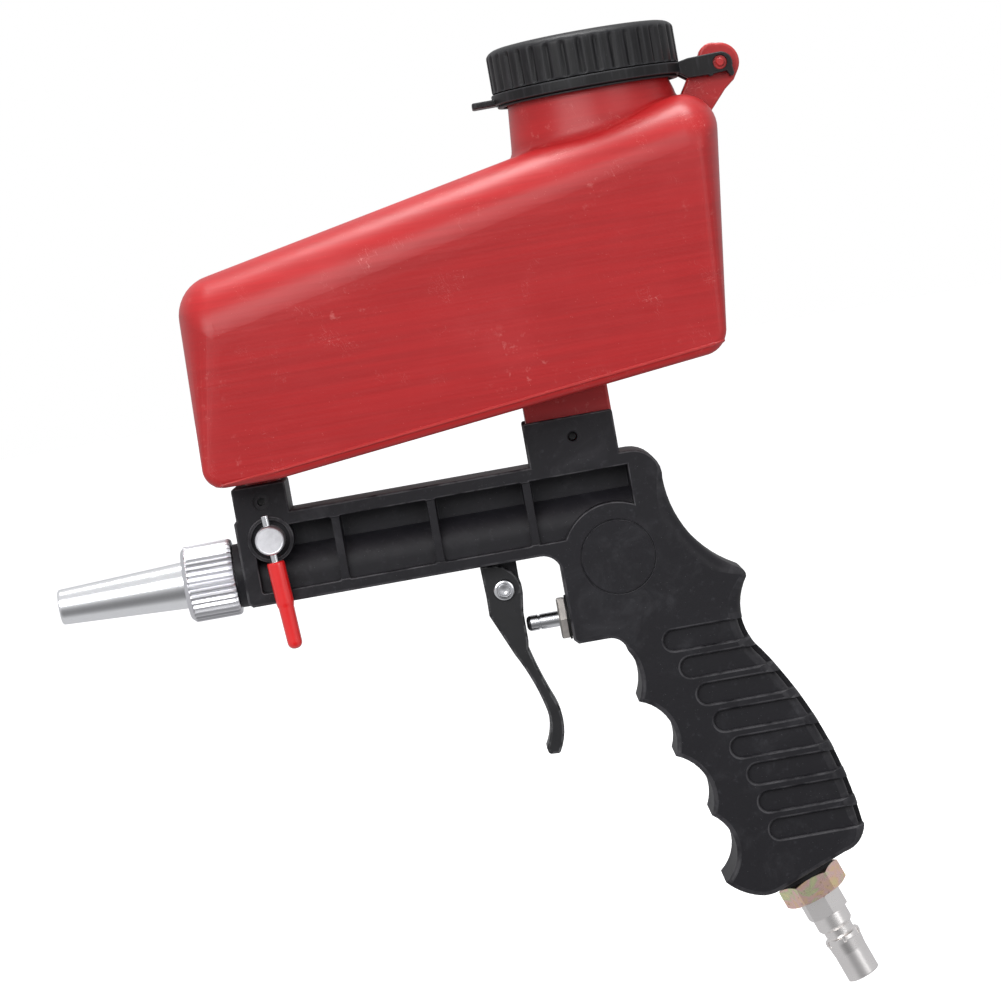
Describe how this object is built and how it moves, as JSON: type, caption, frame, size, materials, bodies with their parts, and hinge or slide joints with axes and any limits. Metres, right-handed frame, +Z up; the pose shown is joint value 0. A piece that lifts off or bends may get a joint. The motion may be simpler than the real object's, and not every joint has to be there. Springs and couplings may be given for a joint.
{
  "type": "gravity feed sandblaster gun",
  "caption": "Hand-held air sandblaster gun with a red gravity hopper, hinged screw lid, sand valve, trigger and quick plug.",
  "frame": {"origin": "middle of the hand grip, on the plane where the two body halves meet", "axes": "+Z up, parallel to the hopper neck; -X along the barrel towards the nozzle; +Y across, to the shooter's right"},
  "size_m": [0.269, 0.0838, 0.348],
  "materials": {
    "body_plastic": "fine matt moulded texture, worn lighter at the edges",
    "hopper_plastic": "satin red polyethylene with faint flow streaks and scuffs",
    "lid_plastic": "black satin plastic",
    "aluminium": "turned and knurled, satin",
    "polished_steel": "polished",
    "nickel_plate": "satin nickel plate",
    "yellow_zinc": "yellow passivated zinc, faintly iridescent",
    "dull_zinc": "dull zinc plate",
    "brass": "machined brass",
    "die_cast": "die-cast zinc alloy",
    "rubber": "black rubber",
    "black_paint": "satin black paint",
    "red_vinyl": "glossy dipped vinyl",
    "black_screw": "black oxide",
    "gasket": "pale foam gasket"
  },
  "bodies": {
    "gun": {"left_body": "body_plastic", "right_body": "body_plastic", "body_screws": "black_screw", "hopper": "hopper_plastic", "filler_neck": "hopper_plastic", "hopper_spout": "hopper_plastic", "front_bracket_screws": "black_screw", "rear_bracket_screw": "black_screw", "nozzle": "aluminium", "nozzle_gasket": "rubber", "mixing_chamber": "die_cast", "air_jet": "brass", "outlet_seal": "rubber", "barrel_tube": "polished_steel", "barrel_tube_plug": "dull_zinc", "delivery_tube": "polished_steel", "trigger_pin": "polished_steel", "valve_spring": "polished_steel", "gland_nut": "dull_zinc", "gland_washer": "rubber", "stem_oring": "rubber", "valve_body": "brass", "valve_plug": "brass", "grip_tube": "polished_steel", "inlet_bushing": "yellow_zinc", "inlet_washer": "rubber", "quick_plug": "nickel_plate"},
    "trigger": {"trigger": "black_paint"},
    "valve_plunger": {"valve_stem": "polished_steel", "valve_seal": "rubber"},
    "sand_valve": {"valve_spindle": "polished_steel", "spindle_orings": "rubber", "spindle_clip": "polished_steel", "lever_rod": "polished_steel", "lever_sleeve": "red_vinyl"},
    "lid": {"lid_ring": "lid_plastic"},
    "cap": {"cap": "lid_plastic", "cap_gasket": "gasket"},
    "nozzle_nut": {"nozzle_nut": "aluminium"}
  },
  "joints": [
    {"name": "trigger_squeeze", "type": "hinge", "parent": "gun", "child": "trigger", "pos_m": [-0.076, 0, 0.0692], "axis": [0, -1, 0], "range_deg": [0, 18], "stiffness_Nm_per_rad": 0.35, "springref_deg": -5.73},
    {"name": "plunger_slide", "type": "slide", "parent": "gun", "child": "valve_plunger", "axis": [1, 0, 0], "range_m": [0, 0.0051], "stiffness_N_per_m": 60, "springref_m": -0.002, "deforming": ["valve_spring"]},
    {"name": "sand_lever", "type": "hinge", "parent": "gun", "child": "sand_valve", "pos_m": [-0.1532, 0, 0.1013], "axis": [0, -1, 0], "range_deg": [0, 90]},
    {"name": "lid_swing", "type": "hinge", "parent": "gun", "child": "lid", "pos_m": [0.0304, 0, 0.238], "axis": [0, 1, 0], "range_deg": [0, 125]},
    {"name": "cap_turn", "type": "hinge", "parent": "lid", "child": "cap", "pos_m": [-0.0165, 0, 0.245], "axis": [0, 0, 1], "continuous": true},
    {"name": "nut_turn", "type": "hinge", "parent": "gun", "child": "nozzle_nut", "pos_m": [-0.177, 0, 0.09], "axis": [1, 0, 0], "continuous": true}
  ],
  "couplings": [
    {"joint": "plunger_slide", "follows": "trigger_squeeze", "m_per_rad": 0.016}
  ]
}
